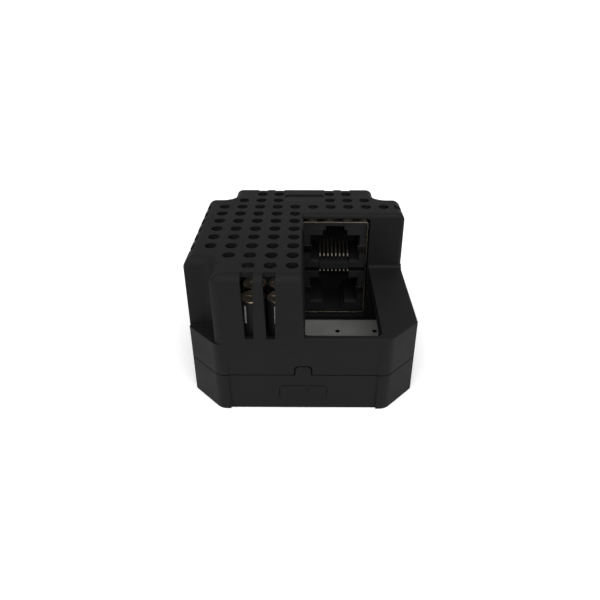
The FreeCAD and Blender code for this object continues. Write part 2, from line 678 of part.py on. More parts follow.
def memory_chips():
    return Part.makeCompound([block(-8.6, -12.0, BOARD_TOP, 7.0, 4.0, 1.0),
                              block(-19.9, -7.6, BOARD_TOP, 3.8, 5.0, 1.0)])


def crystal():
    can = block(-19.6, -1.6, BOARD_TOP, 3.2, 2.5, 0.8)
    return rounded(can, "z", 0.4)


def line_magnetics():
    """The isolating transformers between the sockets and the processor."""
    return rounded(block(-8.0, -18.2, BOARD_TOP, 8.6, 6.6, 5.4), "z", 0.3)


def small_parts():
    """Chip resistors and capacitors in rows beside the larger parts."""
    length, width, height = 1.6, 0.8, 0.5
    parts = [block(-19.8, 5.4 + 1.9 * i, BOARD_TOP, length, width, height) for i in range(5)]
    parts += [block(-15.9 + 1.8 * i, 5.2, BOARD_TOP, width, length, height) for i in range(5)]
    parts += [block(2.4 + 2.2 * i, -12.0, BOARD_TOP, width, length, height) for i in range(4)]
    return Part.makeCompound(parts)


# ---- aerials ------------------------------------------------------------------------------
SOCKET_PLACES = [(-15.6, 9.4), (-15.6, 13.0)]
LEAD_RADIUS = 0.4


def aerial_sockets():
    return Part.makeCompound([rod(x, y, BOARD_TOP, BOARD_TOP + 1.0, 1.0) for x, y in SOCKET_PLACES])


def aerial_plugs():
    """Press-on angled plugs on the lead ends: a round cap and a crimp barrel."""
    plugs = []
    for x, y in SOCKET_PLACES:
        cap = rod(x, y, BOARD_TOP + 1.0, BOARD_TOP + 2.0, 1.25)
        barrel = Part.makeCylinder(0.48, 2.6, V(x, y, BOARD_TOP + 1.5), V(-1, 0, 0))
        plugs.append(cap.fuse(barrel).removeSplitter())
    return Part.makeCompound(plugs)


def side_aerial():
    return box(-INNER + 0.05, -INNER + 0.65, 3.2, 13.8, 17.6, 29.6)


def back_aerial():
    return box(-16.1, -4.5, INNER - 0.65, INNER - 0.05, 17.6, 29.6)


def lead(points):
    """A round lead of straight runs joined by tangent arcs, as large as the runs allow."""
    path = [V(*p) for p in points]
    edges = []
    start = path[0]
    radii = []
    for i in range(1, len(path) - 1):
        run_in = path[i] - path[i - 1]
        run_out = path[i + 1] - path[i]
        a = V(run_in).normalize()
        b = V(run_out).normalize()
        turn = a.getAngle(b)
        cut_back = 0.45 * min(run_in.Length, run_out.Length)
        radius = cut_back / math.tan(turn / 2)
        radii.append(round(radius, 2))
        begin = path[i] - a * cut_back
        end = path[i] + b * cut_back
        inward = (b - a).normalize()
        middle = path[i] + inward * (radius / math.cos(turn / 2) - radius)
        edges.append(Part.LineSegment(start, begin).toShape())
        edges.append(Part.Arc(begin, middle, end).toShape())
        start = end
    edges.append(Part.LineSegment(start, path[-1]).toShape())
    wire = Part.Wire(edges)
    ring = Part.Wire([Part.Circle(path[0], path[1] - path[0], LEAD_RADIUS).toShape()])
    tube = wire.makePipeShell([ring], True, False)
    print("lead length %.1f, arcs %s, volume over section %.3f"
          % (wire.Length, radii, tube.Volume / (math.pi * LEAD_RADIUS ** 2 * wire.Length)))
    return tube


LEAD_Z = BOARD_TOP + 1.5
SIDE_LEAD = [(-18.4, 9.4, LEAD_Z), (-20.0, 9.4, LEAD_Z + 0.5), (-21.3, 9.6, LEAD_Z + 2.3),
             (-21.7, 10.0, LEAD_Z + 5.6), (-21.4, 10.3, LEAD_Z + 8.8), (-21.9, 10.3, LEAD_Z + 11.8),
             (-22.2, 10.3, 18.8)]
BACK_LEAD = [(-18.4, 13.0, LEAD_Z), (-20.4, 13.0, LEAD_Z + 0.5), (-21.8, 12.8, LEAD_Z + 2.6),
             (-21.3, 12.4, LEAD_Z + 6.0), (-19.2, 12.2, LEAD_Z + 8.6), (-16.6, 12.9, LEAD_Z + 10.4),
             (-14.3, 14.7, LEAD_Z + 12.0), (-12.3, 17.4, LEAD_Z + 13.4), (-11.1, 20.1, LEAD_Z + 15.2),
             (-10.7, 22.2, LEAD_Z + 17.6)]


# ---- reset switch and status light --------------------------------------------------------
def reset_switch_body():
    body = box(RESET_X - 3.0, RESET_X + 3.0, 19.4, 22.4, BOARD_TOP, RESET_Z * 2 - BOARD_TOP)
    return body.cut(rod_y(RESET_X, RESET_Z, 20.2, 24, 0.98))


def reset_plunger():
    return rod_y(RESET_X, RESET_Z, 20.6, 23.0, 0.9)


def status_lamp():
    return block(LIGHT_X, 20.9, BOARD_TOP, 1.6, 1.2, 1.8)


def light_pipe():
    pipe = rod_y(LIGHT_X, LIGHT_Z, 21.6, HALF - 0.55, 1.0)
    flange = rod_y(LIGHT_X, LIGHT_Z, 22.4, 23.0, 1.5 - 0.45)
    return pipe.fuse(flange).removeSplitter()


NODES = {
    "top_shell": top_shell,
    "base_cover": base_cover,
    "case_screws": case_screws,
    "main_board": main_board,
    "power_board": power_board,
    "board_spacers": board_spacers,
    "spacer_screws": spacer_screws,
    "board_header": lambda: header_block(HEADER_SPLIT, POWER_BOARD_Z),
    "header_socket": lambda: header_block(BOARD_TOP, HEADER_SPLIT - 0.2),
    "jack_shield": jack_shield,
    "jack_insert_upper": lambda: jack_insert(17.8, 30.2, UPPER_FLOOR, True),
    "jack_insert_lower": lambda: jack_insert(4.4, 16.6, LOWER_FLOOR, False),
    "jack_carrier": jack_carrier,
    "jack_contacts_upper": lambda: jack_contacts(UPPER_CONTACT),
    "jack_contacts_lower": lambda: jack_contacts(LOWER_CONTACT),
    "jack_ground_springs": ground_springs,
    "capacitor_cans": capacitor_cans,
    "capacitor_sleeves": capacitor_sleeves,
    "transformer_core": transformer_core,
    "transformer_bobbin": transformer_bobbin,
    "transformer_winding": transformer_winding,
    "power_choke": power_choke,
    "power_chips": power_chips,
    "processor": processor,
    "thermal_pad": thermal_pad,
    "heat_sink": heat_sink,
    "radio_can": radio_can,
    "radio_chips": radio_chips,
    "memory_chips": memory_chips,
    "crystal": crystal,
    "line_magnetics": line_magnetics,
    "small_parts": small_parts,
    "aerial_sockets": aerial_sockets,
    "aerial_plugs": aerial_plugs,
    "side_aerial": side_aerial,
    "back_aerial": back_aerial,
    "side_aerial_lead": lambda: lead(SIDE_LEAD),
    "back_aerial_lead": lambda: lead(BACK_LEAD),
    "reset_switch_body": reset_switch_body,
    "reset_plunger": reset_plunger,
    "status_lamp": status_lamp,
    "light_pipe": light_pipe,
}

os.makedirs("parts", exist_ok=True)
for name, make in NODES.items():
    shape = make()
    shape.exportStep("parts/%s.step" % name)
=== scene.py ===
"""Finishes, small details and a studio for a compact vented network node.

Lengths in this file are millimetres until MM turns them to the frame's metres.
"""
import math

import bmesh
import bpy
from bpy.props import FloatProperty, FloatVectorProperty, PointerProperty
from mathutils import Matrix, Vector


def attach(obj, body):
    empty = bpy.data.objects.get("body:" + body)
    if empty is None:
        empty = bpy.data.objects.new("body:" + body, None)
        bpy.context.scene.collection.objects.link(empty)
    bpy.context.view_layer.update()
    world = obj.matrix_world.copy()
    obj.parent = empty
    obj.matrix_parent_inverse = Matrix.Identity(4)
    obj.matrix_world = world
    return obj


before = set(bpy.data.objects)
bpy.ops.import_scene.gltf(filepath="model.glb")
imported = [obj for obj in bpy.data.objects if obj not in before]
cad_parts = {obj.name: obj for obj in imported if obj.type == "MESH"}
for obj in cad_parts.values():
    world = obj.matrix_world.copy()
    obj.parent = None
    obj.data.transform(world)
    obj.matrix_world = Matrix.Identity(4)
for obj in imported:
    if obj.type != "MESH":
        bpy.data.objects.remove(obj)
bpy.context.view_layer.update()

bl_info = {
    "name": "Network node studio",
    "version": (1, 0, 0),
    "blender": (4, 5, 0),
    "location": "3D View > Sidebar > Network node",
    "description": "Dresses the parts of a vented network node and sets up its studio",
    "category": "Object",
}

MM = 0.001

# The sizes below are in millimetres and the angles in degrees, unless a comment says otherwise.
ROUND_SHADING = 40  # sharpest angle between faces that is still shaded as one round surface
SKIN = 0.02  # how far a printed or pressed-on skin stands off what is below it

BAR_FACING = (-31.0, -31.0, -16.0, -16.0)  # turn from the front of the bar on each can
BAR_FOOT = 6.2  # above the foot of the sleeve
BAR_HEAD = 10.4

TOOLING_HOLES = ((8.76, 1.2), (18.4, 1.2))
SHADE_PLUG_BORE = 0.43  # a black plug of painted shade in a tooling hole: its bore, the reach of its dark rim, its floor
SHADE_PLUG_RIM = 0.62
SHADE_PLUG_FLOOR = 0.1

# A chip leg: how far out it has come and its height, where 1.0 is half way up the chip.
LEG_PATH = ((-0.1, 1.0), (0.18, 1.0), (0.3, 0.1), (0.36, 0.0), (0.75, 0.0))
LEG_THICK = 0.14
LEG_FOOT = 0.1
LEG_HALF_WIDTH = 0.22  # as a share of the pitch
LEG_ROW_MARGIN = 0.4

PAD_PROUD = 0.03
PAD_INSET = 0.4
PAD_HEIGHT = 0.22

CAP_SHARE = 0.24  # of the length of a small part, at each end
CAP_PROUD = 0.03
CAP_ROUND = 0.04

HEADER_JOINTS = 6  # from the back end of the header
HEADER_PITCH = 2.0
# A solder joint: its radius at each height.
JOINT_OUTLINE = ((0.7, 0.01), (0.62, 0.12), (0.4, 0.4), (0.32, 0.75), (0.28, 1.1), (0.02, 1.15))

FOIL_PROUD = 0.035
FOIL_MARGIN = 1.0
FOIL_WIDTH = 0.6
FOIL_FOLDS = 8

FLOOR_HALF = 3000
FLOOR_DEPTH = 4
FLOOR_ROUND = 0.5
CAMERA_PLACE = (0.738, -112.20, 83.12)
CAMERA_TILT = 61.82
CAMERA_TURN = 0.318
CAMERA_SHIFT = (-0.0073, -0.0608)  # as a share of the picture's width
NEAR_LIMIT = 5


# ---- colours, nodes and meshes --------------------------------------------------------------
def linear(code):
    """The linear colour, with full alpha, of an sRGB hex value."""
    channels = [int(code[i:i + 2], 16) / 255 for i in (0, 2, 4)]
    return [c / 12.92 if c <= 0.04045 else ((c + 0.055) / 1.055) ** 2.4 for c in channels] + [1.0]


def add(tree, kind, inputs=None, **settings):
    """Adds a node. An input takes a value, or the output that feeds it."""
    made = tree.nodes.new(kind)
    for name, value in settings.items():
        setattr(made, name, value)
    for key, value in (inputs or {}).items():
        if isinstance(value, bpy.types.NodeSocket):
            tree.links.new(value, made.inputs[key])
        else:
            made.inputs[key].default_value = value
    return made


# The inputs of a range node: the value, the range it has and the range it gets.
RANGE = ("Value", "From Min", "From Max", "To Min", "To Max")


def start(name):
    """An empty material with its node tree and the place of each point in the frame."""
    material = bpy.data.materials.new(name)
    material.use_nodes = True
    tree = material.node_tree
    tree.nodes.clear()
    return material, tree, add(tree, "ShaderNodeTexCoord").outputs["Object"]


def variation(tree, place, size, stretch=(1, 1, 1), limits=None):
    """Soft random change over the surface, with features of about this size in millimetres.

    Limits are the part of the 0 to 1 range to stretch, and the low and high values it becomes."""
    scale = [1 / (size * MM * s) for s in stretch]
    spot = add(tree, "ShaderNodeMapping", {"Vector": place, "Scale": scale}).outputs["Vector"]
    soft = add(tree, "ShaderNodeTexNoise", {"Vector": spot, "Scale": 1.0, "Detail": 3.0}).outputs["Fac"]
    if limits is None:
        return soft
    return add(tree, "ShaderNodeMapRange", dict(zip(RANGE, (soft,) + limits))).outputs["Result"]


def edge_mask(tree, radius, place):
    """1 on edges and 0 on flat faces, patchy along the edge; it marks rubbed wear, and on the contacts a
    painted highlight at their bends.
    """
    rounded = add(tree, "ShaderNodeBevel", {"Radius": radius * MM}, samples=4).outputs["Normal"]
    flat = add(tree, "ShaderNodeNewGeometry").outputs["Normal"]
    same = add(tree, "ShaderNodeVectorMath", {0: rounded, 1: flat}, operation="DOT_PRODUCT")
    same = same.outputs["Value"]
    edge = add(tree, "ShaderNodeMapRange", dict(zip(RANGE, (same, 0.7, 0.95, 1.0, 0.0))))
    edge = edge.outputs["Result"]
    patchy = variation(tree, place, 1.6, limits=(0.3, 0.7, 0.35, 1.0))
    return add(tree, "ShaderNodeMath", {0: edge, 1: patchy}, operation="MULTIPLY").outputs["Value"]


def dress(tree, place, colour, rough, grain, depth, tone=0.12, mottle=5.0, gloss=0.1,
          stretch=(1, 1, 1), edge_colour=None, edge_mix=0.4, edge=0.12, pattern=None, second=None, relief=0.0,
          **shader):
    """What every finish shares: grain, slow mottling, uneven gloss and an edge colour: rubbed wear on
    most, a painted highlight on the contacts.

    Grain, mottle, edge radius and depths are in millimetres. A pattern from 0 to 1 can bring in a
    second colour and raise the surface by its relief."""
    cloud = variation(tree, place, mottle)
    dark = [c * (1 - tone) for c in colour[:3]] + [1.0]
    light = [min(1.0, c * (1 + tone)) for c in colour[:3]] + [1.0]
    shade = add(tree, "ShaderNodeMapRange", dict(zip(RANGE, (cloud, 0.3, 0.7, 0.0, 1.0))))
    mixed = {0: shade.outputs["Result"], 6: dark, 7: light}
    tint = add(tree, "ShaderNodeMix", mixed, data_type="RGBA").outputs[2]
    fine = variation(tree, place, grain, stretch)
    height = add(tree, "ShaderNodeMath", {0: fine, 1: depth}, operation="MULTIPLY").outputs["Value"]
    if pattern is not None:
        if second is not None:
            mixed = {0: pattern, 6: tint, 7: second}
            tint = add(tree, "ShaderNodeMix", mixed, data_type="RGBA").outputs[2]
        raised = add(tree, "ShaderNodeMath", {0: pattern, 1: relief}, operation="MULTIPLY")
        height = add(tree, "ShaderNodeMath", {0: height, 1: raised.outputs["Value"]}, operation="ADD")
        height = height.outputs["Value"]
    # The edge colour is rubbed wear on most finishes and a painted highlight at the bends of the
    # contacts.
    rubbed = edge_mask(tree, edge, place)
    edge_amount = add(tree, "ShaderNodeMath", {0: rubbed, 1: edge_mix}, operation="MULTIPLY").outputs["Value"]
    mixed = {0: edge_amount, 6: tint, 7: edge_colour or light}
    tint = add(tree, "ShaderNodeMix", mixed, data_type="RGBA").outputs[2]
    both = add(tree, "ShaderNodeMath", {0: cloud, 1: fine}, operation="ADD").outputs["Value"]
    limits = (both, 0.7, 1.3, rough - gloss / 2, rough + gloss / 2)
    uneven = add(tree, "ShaderNodeMapRange", dict(zip(RANGE, limits))).outputs["Result"]
    polish = add(tree, "ShaderNodeMath", {0: edge_amount, 1: -0.25}, operation="MULTIPLY").outputs["Value"]
    roughness = add(tree, "ShaderNodeMath", {0: uneven, 1: polish}, operation="ADD", use_clamp=True)
    softened = add(tree, "ShaderNodeBevel", {"Radius": edge * MM}, samples=4).outputs["Normal"]
    bump = add(tree, "ShaderNodeBump", {"Height": height, "Distance": MM, "Normal": softened})
    surface = add(tree, "ShaderNodeBsdfPrincipled",
                  {"Base Color": tint, "Roughness": roughness.outputs["Value"],
                   "Normal": bump.outputs["Normal"]})
    for name, value in shader.items():
        surface.inputs[name.replace("_", " ").title().replace("Ior", "IOR")].default_value = value
    add(tree, "ShaderNodeOutputMaterial", {"Surface": surface.outputs["BSDF"]})


def piece(name, mesh, material, smooth=None):
    """A new object on the case's body, with its finish; smooth is the sharpest angle shaded round."""
    made = bpy.data.objects.new(name, mesh)
    bpy.context.scene.collection.objects.link(made)
    mesh.materials.append(material)
    if smooth is not None:
        mesh.polygons.foreach_set("use_smooth", [True] * len(mesh.polygons))
        mesh.set_sharp_from_angle(angle=math.radians(smooth))
    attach(made, "case")
    return made


def finish_mesh(bm, name):
    """Turns a bmesh into a mesh with its faces outward."""
    bmesh.ops.remove_doubles(bm, verts=bm.verts, dist=1e-7)
    bmesh.ops.recalc_face_normals(bm, faces=bm.faces)
    mesh = bpy.data.meshes.new(name)
    bm.to_mesh(mesh)
    bm.free()
    return mesh


def coat(material, *nodes):
    """Gives each named part of the frame one finish."""
    for name in nodes:
        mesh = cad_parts[name].data
        mesh.materials.clear()
        mesh.materials.append(material)


def solids(node):
    """The box, as low and high corners in metres, of every separate solid in a node."""
    bm = bmesh.new()
    bm.from_mesh(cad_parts[node].data)
    bmesh.ops.remove_doubles(bm, verts=bm.verts, dist=1e-6)
    unseen = set(bm.verts)
    found = []
    while unseen:
        first = unseen.pop()
        group, queue = [first], [first]
        while queue:
            for edge in queue.pop().link_edges:
                for vert in edge.verts:
                    if vert in unseen:
                        unseen.discard(vert)
                        group.append(vert)
                        queue.append(vert)
        low = Vector([min(v.co[i] for v in group) for i in range(3)])
        high = Vector([max(v.co[i] for v in group) for i in range(3)])
        found.append((low, high))
    bm.free()
    return sorted(found, key=lambda ends: (round(ends[0].x, 5), round(ends[0].y, 5)))


def cuboid(bm, low, high, soften=0.0):
    """Adds a box between two corners, in metres, its edges softened by a width in metres."""
    centre = (Vector(low) + Vector(high)) / 2
    size = Vector(high) - Vector(low)
    new = bmesh.ops.create_cube(bm, size=1.0)["verts"]
    for vert in new:
        vert.co = Vector([vert.co[i] * size[i] for i in range(3)]) + centre
    if soften:
        edges = {edge for vert in new for edge in vert.link_edges}
        bmesh.ops.bevel(bm, geom=list(edges), offset=soften, segments=2, affect="EDGES", profile=0.7)


def lathe(bm, centre, outline, turns=32):
    """Adds a round form: (radius, height) points, in millimetres, turned about a line through centre."""
    rings = []
    for radius, height in outline:
        ring = []
        for step in range(turns):
            angle = 2 * math.pi * step / turns
            offset = Vector((radius * math.cos(angle), radius * math.sin(angle), height))
            ring.append(bm.verts.new(centre + offset * MM))
        rings.append(ring)
    for lower, upper in zip(rings, rings[1:]):
        for step in range(turns):
            after = (step + 1) % turns
            bm.faces.new((lower[step], lower[after], upper[after], upper[step]))


def ribbon(bm, path, side, thick):
    """Adds a bent strip: a path of points, half its width as a vector, and a thickness."""
    side = Vector(side)
    points = [Vector(point) for point in path]
    rows = []
    for i, point in enumerate(points):
        run = points[min(i + 1, len(points) - 1)] - points[max(i - 1, 0)]
        up = run.cross(side).normalized() * thick / 2
        corners = (-side - up, side - up, side + up, up - side)
        rows.append([bm.verts.new(point + corner) for corner in corners])
    for row, following in zip(rows, rows[1:]):
        for i in range(4):
            bm.faces.new((row[i], row[(i + 1) % 4], following[(i + 1) % 4], following[i]))
    bm.faces.new(rows[0])
    bm.faces.new(rows[-1][::-1])


# ---- settings -------------------------------------------------------------------------------
def colour_setting(name, words, code):
    return FloatVectorProperty(name=name, description=words, subtype="COLOR", size=4, min=0, max=1,
                               default=linear(code))


class CaseSettings(bpy.types.PropertyGroup):
    """The moulded case."""
    plastic: colour_setting("Plastic", "Colour of the moulded case", "101011")
    rubbed: colour_setting("Rubbed edge", "Colour of the plastic where its edges are rubbed", "1e1e1f")
    grain: FloatProperty(name="Grain", description="Size of the spark-eroded grain, in millimetres",
                         default=0.34, min=0.05, max=1.0)


class SocketSettings(bpy.types.PropertyGroup):
    """The stacked sockets."""
    sheet: colour_setting("Shield", "Colour of the plated shield", "857c70")
    # Painted shade: the springs get a darker copy of the shield's plated colour, standing in for the
    # shade they lie in.
    shaded_spring: colour_setting("Spring", "Colour of the shield's springs, duller than the shield", "302e2c")
    insert: colour_setting("Insert", "Colour of the moulded inserts", "19191a")
    contact: colour_setting("Contact", "Colour of the flashed contacts", "4a463f")


class InsideSettings(bpy.types.PropertyGroup):
    """The boards and what they carry."""
    pale_mask: colour_setting("Main board", "Colour of the main board's mask", "6c6c6a")
    green_mask: colour_setting("Power board", "Colour of the power board's mask", "0d3b26")
    # The cans' warm beige tint is a painted reflection.
    can_painted_warm_tint: colour_setting("Can", "Colour of the bare aluminium cans", "86796a")
    bar: colour_setting("Bar", "Colour of the printed polarity bars", "8a8985")
    bar_width: FloatProperty(name="Bar width", description="Angle that a bar covers round its can",
                             default=math.radians(10), min=0.0, max=math.pi, subtype="ANGLE")


class StageSettings(bpy.types.PropertyGroup):
    """The studio."""
    floor: colour_setting("Floor", "Colour of the floor", "fafafa")
    light: FloatProperty(name="Front light", description="Strength of the soft light in front",
                         default=3.0, min=0.0, max=20.0)
    tilt: FloatProperty(name="Tilt", description="Lean of the soft light from upright",
                        default=math.radians(35), min=0.0, max=math.pi / 2, subtype="ANGLE")
    softness: FloatProperty(name="Softness", description="How wide the soft light is",
                            default=math.radians(80), min=0.02, max=math.pi, subtype="ANGLE")
    sky: FloatProperty(name="Sky", description="Strength of the even light from all round",
                       default=0.6, min=0.0, max=4.0)
    lens: FloatProperty(name="Lens", description="Focal length on a 36 mm frame, in millimetres",
                        default=31.76, min=10.0, max=200.0)


# ---- finishes -------------------------------------------------------------------------------
def moulded_case_plastic(settings):
    """ABS and polycarbonate blend, injection moulded against a spark-eroded steel face."""
    # A dead matte black that only shows its grain where light grazes it. The real grain is near
    # 0.05 mm and is drawn several times coarser so that it can be seen.
    material, tree, place = start("abs_pc_spark_eroded")
    dress(tree, place, list(settings.plastic), rough=0.62, grain=settings.grain, depth=0.02, tone=0.12,
          mottle=9.0, gloss=0.14, edge_colour=list(settings.rubbed), edge_mix=0.7, edge=0.16,
          ior=1.53, specular_ior_level=0.10)
    return material


def oxide_steel():
    """Carbon steel screw, rolled and chemically blackened."""
    # Dark brown-black with a dull oily gleam, and bare grey steel on the rubbed rims.
    material, tree, place = start("black_oxide_steel")
    dress(tree, place, linear("25221f"), rough=0.42, grain=0.2, depth=0.006, edge_colour=linear("6b6862"),
          edge_mix=0.6, edge=0.1, metallic=0.85)
    return material


def solder_mask(name, colour, under, rough, edge_mix):
    """Glass-fibre laminate with tracks under a screened solder mask."""
    # The mask is a glossy paint, and the copper tracks below it show as slightly raised, paler lanes.
    material, tree, place = start(name)
    lane = add(tree, "ShaderNodeMapping", {"Vector": place, "Scale": [1 / MM] * 3}).outputs["Vector"]
    cells = add(tree, "ShaderNodeTexVoronoi", {"Vector": lane, "Scale": 0.55, "Randomness": 0.35},
                distance="MANHATTAN", feature="F1").outputs["Distance"]
    tracks = add(tree, "ShaderNodeMath", {0: cells, 1: 9.0}, operation="MULTIPLY").outputs["Value"]
    waves = add(tree, "ShaderNodeMath", {0: tracks}, operation="SINE").outputs["Value"]
    copper = add(tree, "ShaderNodeMapRange", dict(zip(RANGE, (waves, 0.55, 0.75, 0.0, 0.35))))
    copper = copper.outputs["Result"]
    dress(tree, place, colour, rough=rough, grain=0.5, depth=0.004, tone=0.08, mottle=7.0, gloss=0.12,
          edge_colour=under, edge_mix=edge_mix, edge=0.08, pattern=copper, second=under, relief=0.006, ior=1.55)
    return material


def turned_brass():
    """Free-cutting brass, turned in a bar lathe."""
    # Yellow metal with fine tool rings round its axis, a little browned between them.
    material, tree, place = start("turned_brass")
    rings = variation(tree, place, 0.35, (60, 60, 1))
    dress(tree, place, linear("c7a45c"), rough=0.3, grain=0.3, depth=0.004, tone=0.14, mottle=2.0,
          gloss=0.16, edge_colour=linear("e2c583"), edge_mix=0.6, edge=0.1, pattern=rings, relief=0.01,
          metallic=1.0)
    return material


def zinc_plated_steel():
    """Steel pan-head screws with bright zinc plating."""
    # Cool silver with a faint blue-grey bloom.
    material, tree, place = start("zinc_plated_steel")
    dress(tree, place, linear("aeb2b5"), rough=0.34, grain=0.25, depth=0.005, tone=0.12, mottle=1.5,
          gloss=0.18, edge_colour=linear("d5d7d8"), edge_mix=0.5, edge=0.1, metallic=1.0)
    return material


def glass_filled_nylon(name, colour, rough):
    """Glass-filled nylon, injection moulded."""
    # Satin, with short fibre flecks that run along the flow.
    material, tree, place = start(name)
    flecks = variation(tree, place, 0.18, (1, 6, 1), (0.55, 0.75, 0.0, 0.35))
    light = [min(1.0, c * 1.5) for c in colour[:3]] + [1.0]
    dress(tree, place, colour, rough=rough, grain=0.3, depth=0.012, tone=0.1, mottle=3.0, gloss=0.14,
          edge_colour=light, edge_mix=0.5, edge=0.08, pattern=flecks, second=light, relief=0.004,
          ior=1.53, specular_ior_level=0.12)
    return material


def plated_sheet(name, colour):
    """Copper alloy sheet, stamped, folded and nickel plated."""
    # A warm, pale metal with the fine lines of the rolled strip and small handling scuffs.
    material, tree, place = start(name)
    rolled = variation(tree, place, 0.25, (1, 1, 18))
    dress(tree, place, colour, rough=0.33, grain=0.35, depth=0.006, tone=0.12, mottle=3.0, gloss=0.2,
          edge_colour=linear("c2b7a5"), edge_mix=0.2, edge=0.08, pattern=rolled, relief=0.008, metallic=1.0)
    return material


def gold_flash(colour):
    """Phosphor bronze wire with a thin flash of gold at the working end."""
    # Dark grey-brown along the shank, with a painted highlight in a paler colour on the edges at its
    # bends.
    material, tree, place = start("gold_flashed_bronze")
    dress(tree, place, colour, rough=0.42, grain=0.3, depth=0.003, tone=0.18, mottle=1.6, gloss=0.14,
          edge_colour=linear("837c6f"), edge_mix=0.6, edge=0.06, metallic=1.0)
    return material


def drawn_aluminium(colour):
    """Bare aluminium, deep drawn into a can."""
    # Soft silver with a warm beige tint that is a painted reflection of a warm room, with fine draw
    # lines and a frosty bloom.
    material, tree, place = start("drawn_aluminium")
    lines = variation(tree, place, 0.22, (12, 1, 1))
    dress(tree, place, colour, rough=0.4, grain=0.3, depth=0.006, tone=0.12, mottle=1.8, gloss=0.16,
          edge_colour=linear("a79b8b"), edge_mix=0.2, edge=0.12, pattern=lines, relief=0.006, metallic=1.0)
    return material


def shrink_film(name, colour, rough=0.55):
    """Polyester film, heat-shrunk round a can."""
    # Near-black and satin, drawn tight, with faint level ripples from shrinking.
    material, tree, place = start(name)
    ripple = variation(tree, place, 0.9, (3, 3, 1))
    lighter = [min(1.0, c * 1.6 + 0.004) for c in colour[:3]] + [1.0]
    dress(tree, place, colour, rough=rough, grain=0.5, depth=0.01, tone=0.12, mottle=3.0, gloss=0.12,
          edge_colour=lighter, edge_mix=0.3, edge=0.12, pattern=ripple, relief=0.02,
          ior=1.57, specular_ior_level=0.12)
    return material


def ground_ferrite():
    """Manganese-zinc ferrite, pressed, sintered and ground where the halves meet."""
    # Charcoal ceramic, dry and slightly sparkling, with paler chipped edges.
    material, tree, place = start("sintered_ferrite")
    specks = variation(tree, place, 0.16, limits=(0.6, 0.72, 0.0, 0.6))
    dress(tree, place, linear("363639"), rough=0.6, grain=0.22, depth=0.02, tone=0.12, mottle=2.0,
          gloss=0.2, edge_colour=linear("77777a"), edge_mix=0.6, edge=0.14, pattern=specks,
          second=linear("58585c"), ior=1.9)
    return material


def polyester_tape():
    """Black polyester tape wound over enamelled wire."""
    # Brown-black and half glossy, and the round wires below show as level ridges.
    material, tree, place = start("polyester_winding_tape")
    level = add(tree, "ShaderNodeMapping", {"Vector": place, "Scale": [1 / MM] * 3}).outputs["Vector"]
    turns = add(tree, "ShaderNodeTexWave", {"Vector": level, "Scale": 0.5, "Distortion": 0.6},
                bands_direction="Z").outputs["Fac"]
    ridges = add(tree, "ShaderNodeMapRange", dict(zip(RANGE, (turns, 0.2, 0.8, 0.0, 0.5))))
    ridges = ridges.outputs["Result"]
    dress(tree, place, linear("1f1c18"), rough=0.4, grain=0.5, depth=0.006, tone=0.12, mottle=2.5,
          gloss=0.14, edge_colour=linear("37322a"), edge_mix=0.5, edge=0.1, pattern=ridges,
          second=linear("2a251f"), relief=0.03, ior=1.6)
    return material


def chip_epoxy():
    """Silica-filled epoxy, transfer moulded round a chip."""
    # Warm black and matte, with a fine sanded look.
    material, tree, place = start("moulded_chip_epoxy")
    dress(tree, place, linear("232325"), rough=0.55, grain=0.2, depth=0.014, tone=0.14, mottle=1.8,
          gloss=0.16, edge_colour=linear("4a4a4c"), edge_mix=0.6, edge=0.1, ior=1.55)
    return material


def fired_ceramic():
    """Barium titanate ceramic, fired in layers."""
    # Tan and slightly glossy, each part a shade off the next.
    material, tree, place = start("fired_ceramic")
    dress(tree, place, linear("a08566"), rough=0.45, grain=0.2, depth=0.01, tone=0.25, mottle=1.6,
          gloss=0.14, edge_colour=linear("c7b297"), edge_mix=0.5, edge=0.08, ior=1.7)
    return material


def filled_silicone():
    """Soft silicone loaded with alumina, cut from sheet."""
    # Dull blue-grey and slightly tacky, pocked at its cut sides.
    material, tree, place = start("filled_silicone_pad")
    pits = variation(tree, place, 0.3, limits=(0.55, 0.7, 0.0, 1.0))
    dress(tree, place, linear("8f9bb0"), rough=0.7, grain=0.2, depth=0.02, tone=0.1, mottle=1.5,
          gloss=0.1, edge_colour=linear("a9b3c4"), edge_mix=0.4, edge=0.1, pattern=pits, relief=-0.03, ior=1.42)
    return material


def anodised_extrusion():
    """Aluminium, extruded and black anodised."""
    # Soft black with long die lines and bare bright specks on the fin tips.
    material, tree, place = start("black_anodised_aluminium")
    lines = variation(tree, place, 0.2, (1, 40, 1))
    dress(tree, place, linear("1e1e20"), rough=0.44, grain=0.25, depth=0.006, tone=0.12, mottle=3.0,
          gloss=0.14, edge_colour=linear("6d6d70"), edge_mix=0.6, edge=0.1, pattern=lines, relief=0.012,
          metallic=0.7)
    return material


def lead_jacket():
    """Fluoropolymer jacket, extruded over a coaxial core."""
    # Slippery black with a long soft highlight.
    material, tree, place = start("fluoropolymer_jacket")
    dress(tree, place, linear("202022"), rough=0.32, grain=0.3, depth=0.008, tone=0.1, mottle=2.0,
          gloss=0.12, edge_colour=linear("3a3a3c"), edge_mix=0.4, edge=0.1, ior=1.38)
    return material


def polished_acrylic():
    """Clear acrylic, moulded and polished."""
    # Water-clear with faint flow lines.
    material, tree, place = start("polished_acrylic")
    dress(tree, place, linear("f4f7f7"), rough=0.12, grain=0.6, depth=0.004, tone=0.03, mottle=2.0,
          gloss=0.08, edge_colour=linear("ffffff"), edge_mix=0.2, edge=0.1, ior=1.49, transmission_weight=0.85)
    return material


def tinned():
    """Copper alloy leads, tinned and soldered."""
    # Bright grey with a slightly lumpy, frosty skin.
    material, tree, place = start("tinned_copper")
    dress(tree, place, linear("b9b9b6"), rough=0.34, grain=0.3, depth=0.012, tone=0.14, mottle=0.9,
          gloss=0.2, edge_colour=linear("dddddb"), edge_mix=0.5, edge=0.08, metallic=1.0)
    return material


